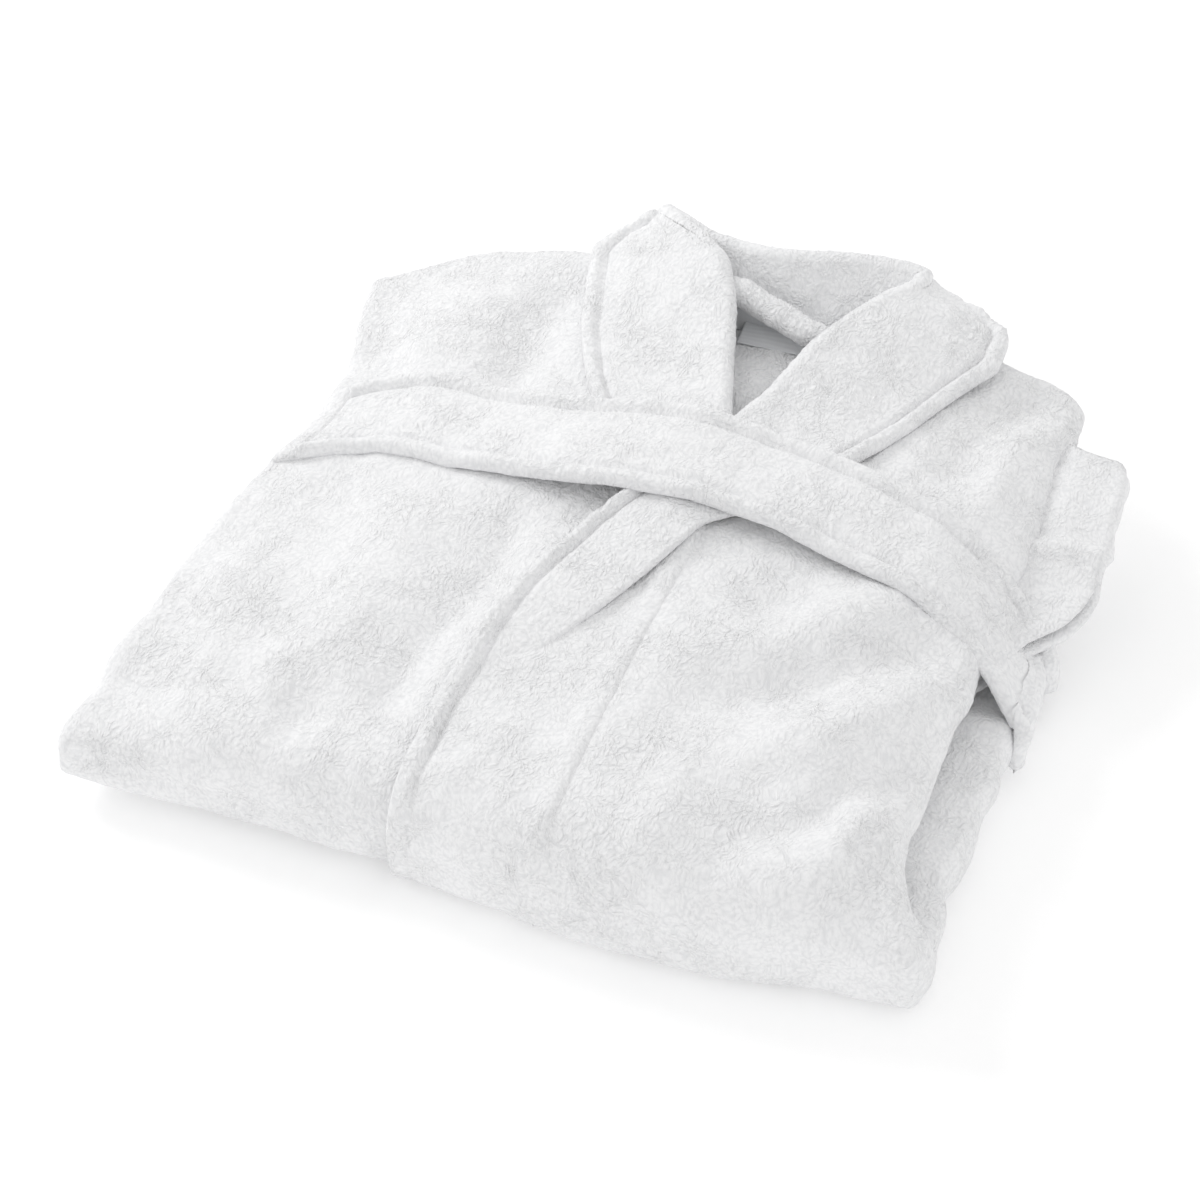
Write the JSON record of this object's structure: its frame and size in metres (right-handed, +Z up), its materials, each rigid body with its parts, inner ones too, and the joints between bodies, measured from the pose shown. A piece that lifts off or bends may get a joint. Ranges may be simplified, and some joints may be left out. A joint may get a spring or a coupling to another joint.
{
  "type": "bathrobe",
  "caption": "White terry bathrobe with a shawl collar, folded flat with its belt laid across; the belt, the hanger loop and the collar's corners turn.",
  "frame": {"origin": "centre of the bounding box's underside, on the surface that the folded robe lies on", "axes": "+Z up, +Y to the collar, +X to the wearer's left"},
  "size_m": [0.4388, 0.438, 0.1136],
  "materials": {
    "terry_body": "looped cotton terry, white",
    "terry_collar": "looped cotton terry, white, double",
    "terry_belt": "looped cotton terry, white, stitched double",
    "cotton_tape": "woven cotton tape",
    "satin_label": "woven satin, blank"
  },
  "bodies": {
    "robe": {"front_left": "terry_body", "front_right": "terry_body", "back_panel": "terry_body", "front_band_left": "terry_collar", "front_band_right": "terry_collar", "sleeve_left": "terry_body", "cuff_left": "terry_collar", "sleeve_right": "terry_body", "cuff_right": "terry_collar", "pocket_left": "terry_body", "pocket_right": "terry_body", "belt_loop_left": "terry_belt", "belt_loop_right": "terry_belt", "collar_left": "terry_collar", "collar_right": "terry_collar", "neck_tape": "cotton_tape", "neck_label": "satin_label", "belt_tail": "terry_belt"},
    "belt_strap": {"belt_front": "terry_belt"},
    "hanger": {"hanger_loop": "terry_collar"},
    "lapel_corner_left": {"collar_left_fall": "terry_collar"},
    "lapel_corner_right": {"collar_right_fall": "terry_collar"}
  },
  "joints": [
    {"name": "belt_lift", "type": "hinge", "parent": "robe", "child": "belt_strap", "pos_m": [-0.19995, 0.044, 0.071], "axis": [0, -1, 0], "range_deg": [0, 150]},
    {"name": "hanger_swing", "type": "hinge", "parent": "robe", "child": "hanger", "pos_m": [0.0188, 0.18235, 0.0824], "axis": [-1, 0, 0], "range_deg": [0, 80]},
    {"name": "left_corner_turn", "type": "hinge", "parent": "robe", "child": "lapel_corner_left", "pos_m": [0.1001, 0.1467, 0.0813], "axis": [-0.0904, -0.9798, -0.1781], "range_deg": [0, 90]},
    {"name": "right_corner_turn", "type": "hinge", "parent": "robe", "child": "lapel_corner_right", "pos_m": [-0.0602, 0.1471, 0.0789], "axis": [-0.0632, 0.9697, 0.2359], "range_deg": [0, 90]}
  ]
}
